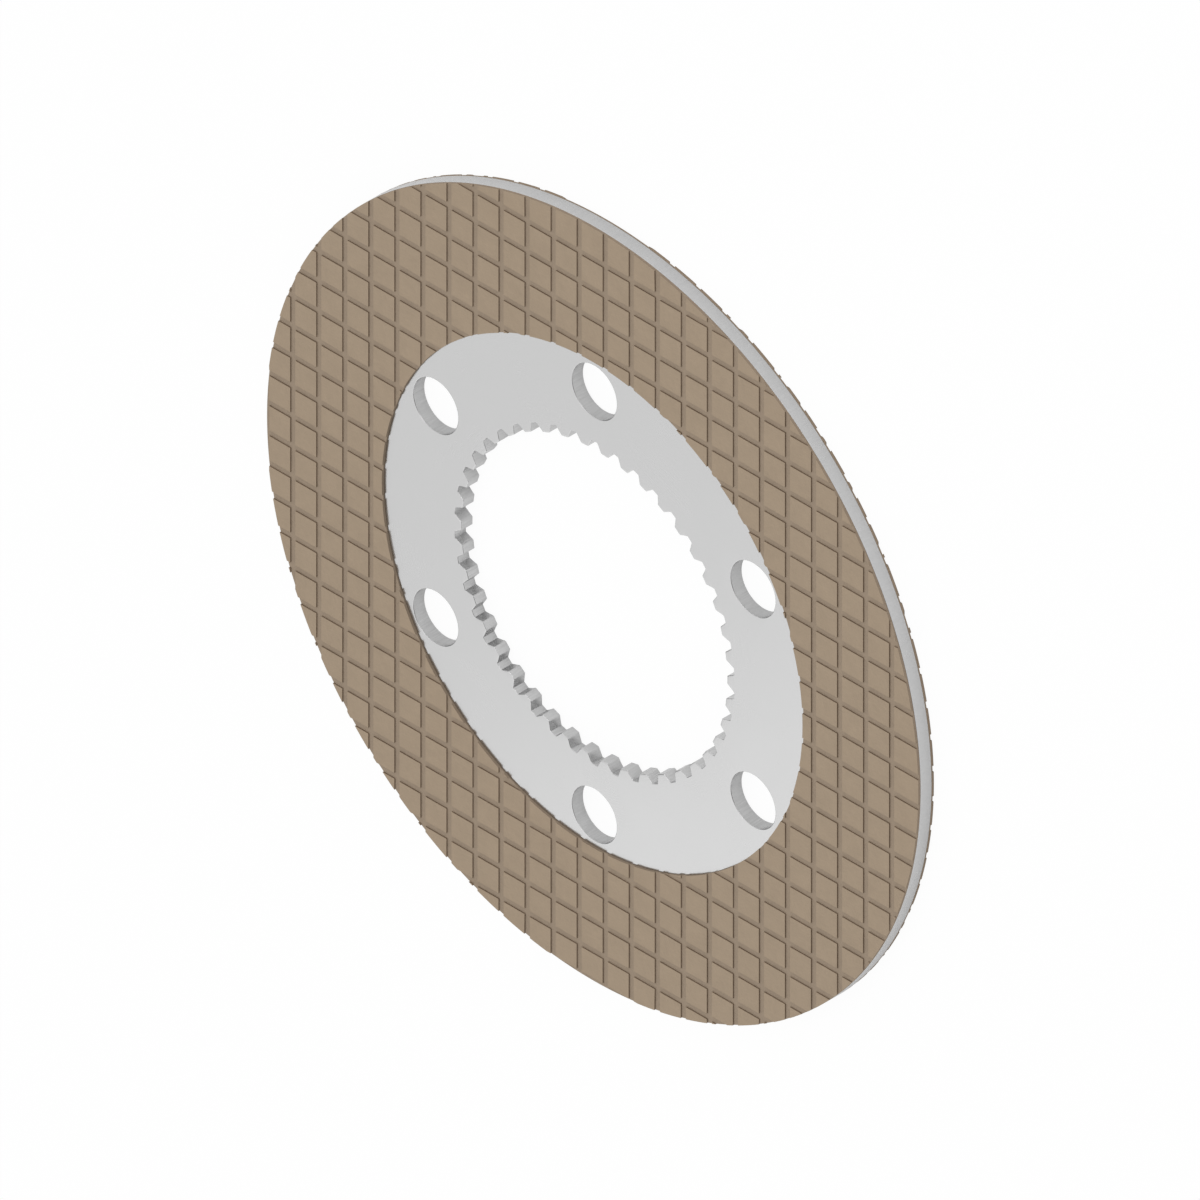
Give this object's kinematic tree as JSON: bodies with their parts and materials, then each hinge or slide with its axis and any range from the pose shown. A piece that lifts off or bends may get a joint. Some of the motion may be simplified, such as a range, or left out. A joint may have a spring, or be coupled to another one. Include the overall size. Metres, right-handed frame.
{
  "type": "transmission brake disc",
  "caption": "Flat annular brake disc: steel core plate with an internally splined bore and round oil holes, faced on both sides with brown friction linings cut into square waffle pads.",
  "frame": {"origin": "on the disc's axis, at the free face of the rear lining, which is the face it lies on", "axes": "+Z along the disc's axis towards the front lining; +Y through the centre of an oil hole and of a tooth space; the grooves of the linings run along X and Y"},
  "size_m": [0.32, 0.32, 0.0077],
  "materials": {
    "steel": "satin",
    "friction_lining": "matte"
  },
  "bodies": {
    "root": {"core_plate": "steel", "front_lining": "friction_lining", "rear_lining": "friction_lining"}
  },
  "joints": []
}
